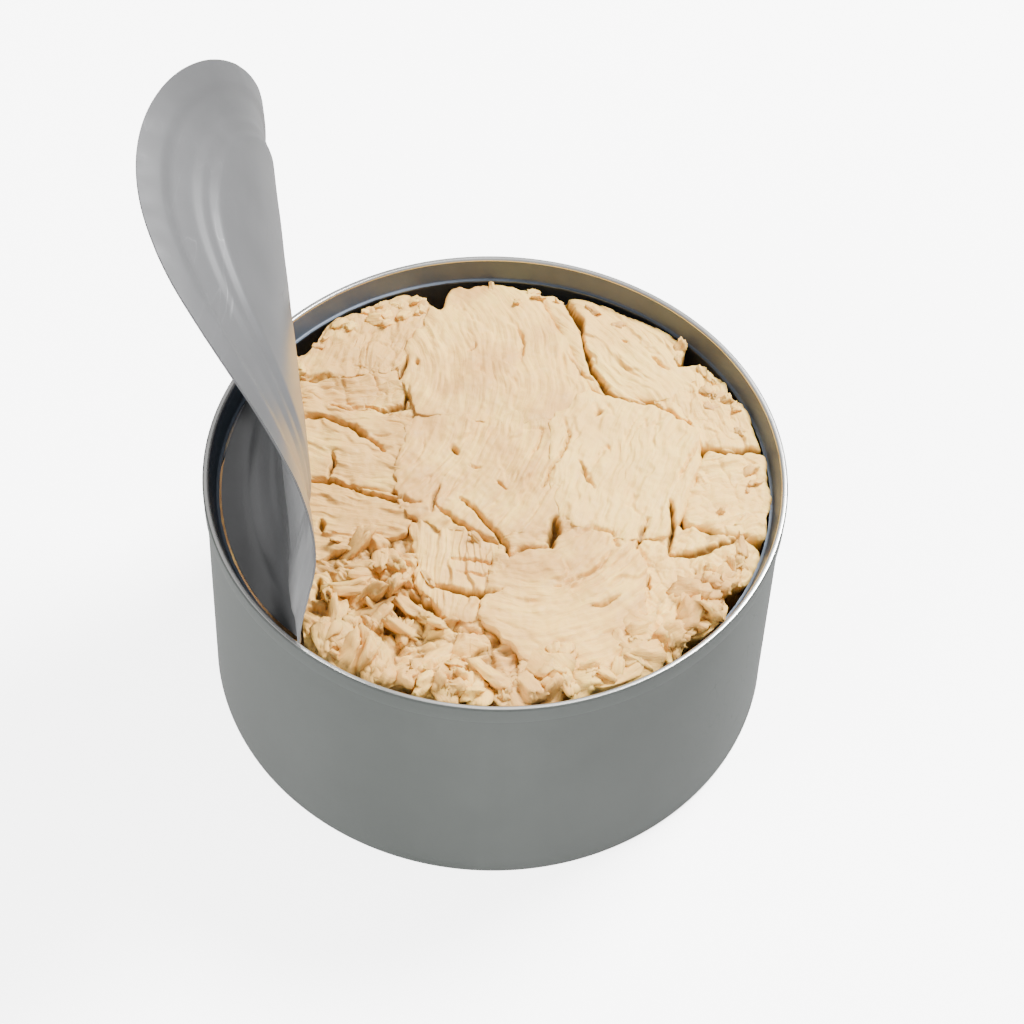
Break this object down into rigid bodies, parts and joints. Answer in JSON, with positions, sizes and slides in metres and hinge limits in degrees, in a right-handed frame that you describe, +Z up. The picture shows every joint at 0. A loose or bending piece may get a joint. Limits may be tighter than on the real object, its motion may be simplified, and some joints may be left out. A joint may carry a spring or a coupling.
{
  "type": "opened tuna can",
  "caption": "Short round food can of packed tuna, opened: the lid is peeled back, curled and still joined to the rim on the left.",
  "frame": {"origin": "centre of the ring that the can stands on", "axes": "+Z up along the can's axis, -Y towards the viewer, the lid folds up on the -X side"},
  "size_m": [0.09, 0.0882, 0.1064],
  "materials": {
    "body_tin": "satin grey tinplate, smooth",
    "end_tin": "bright rolled sheet, softly streaked",
    "ring_metal": "bright stamped metal",
    "fish_cream": "moist cooked fish, cream",
    "fish_tan": "moist cooked fish, pinkish tan",
    "fish_deep": "wet brown fish in the cracks"
  },
  "bodies": {
    "root": {"can_body": "body_tin", "can_end": "end_tin", "pull_ring": "ring_metal", "rivet": "ring_metal", "fish_bed": "fish_deep", "chunk_back_left": "fish_tan", "chunk_back": "fish_cream", "chunk_back_right": "fish_cream", "chunk_right": "fish_cream", "chunk_right_front": "fish_cream", "chunk_centre_right": "fish_cream", "chunk_centre": "fish_cream", "chunk_left": "fish_tan", "chunk_left_band": "fish_tan", "chunk_left_front": "fish_tan", "chunk_layered": "fish_cream", "chunk_swirl": "fish_cream", "chunk_front_left": "fish_tan", "chunk_front_right": "fish_cream", "front_flakes": "fish_cream"}
  },
  "joints": []
}
